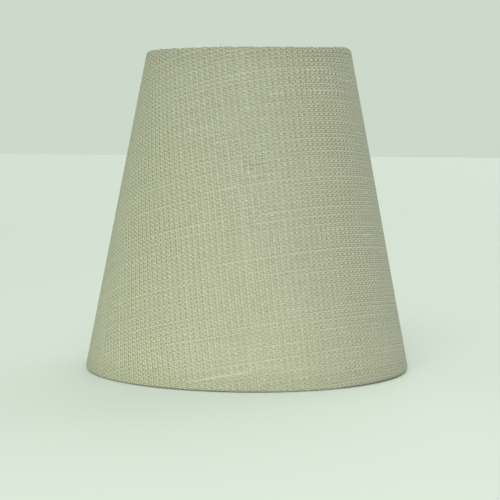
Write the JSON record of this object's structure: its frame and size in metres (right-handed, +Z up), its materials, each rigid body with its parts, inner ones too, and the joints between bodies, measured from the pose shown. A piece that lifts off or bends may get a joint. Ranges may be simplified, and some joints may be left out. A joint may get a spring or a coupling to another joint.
{
  "type": "lamp shade",
  "caption": "Tapered hard-back lamp shade in coarse linen with rolled edges and a reversible tilting gimbal that carries the lampholder ring.",
  "frame": {"origin": "centre of the circle on which the bottom rim stands", "axes": "+Z up along the shade's axis; -Y towards the viewer, with the seam at the back left; X along the gimbal's pivots"},
  "size_m": [0.2, 0.2, 0.195],
  "materials": {
    "linen": "coarse plain-weave linen in oatmeal beige with slubs",
    "liner": "satin white laminating sheet",
    "tape": "clear-white adhesive tape",
    "wire": "white powder-coated steel wire",
    "yoke": "white powder-coated pressed steel",
    "rivet": "zinc-plated steel, slightly dull",
    "washer": "natural nylon",
    "reducer": "moulded white plastic, fine texture"
  },
  "bodies": {
    "shade": {"linen_cover": "linen", "shade_liner": "liner", "seam_tape": "tape", "top_wire_ring": "wire", "bottom_wire_ring": "wire", "top_ring_tape": "tape", "bottom_ring_tape": "tape", "arm_left": "wire", "arm_right": "wire", "pivot_rivet_left": "rivet", "pivot_rivet_right": "rivet", "friction_washer_left": "washer", "friction_washer_right": "washer"},
    "gimbal": {"yoke_leg_left": "yoke", "yoke_leg_right": "yoke", "utility_ring": "yoke", "reducer_ring": "reducer"}
  },
  "joints": [
    {"name": "gimbal_tilt", "type": "hinge", "parent": "shade", "child": "gimbal", "pos_m": [0, 0, 0.18445], "axis": [1, 0, 0], "continuous": true}
  ]
}
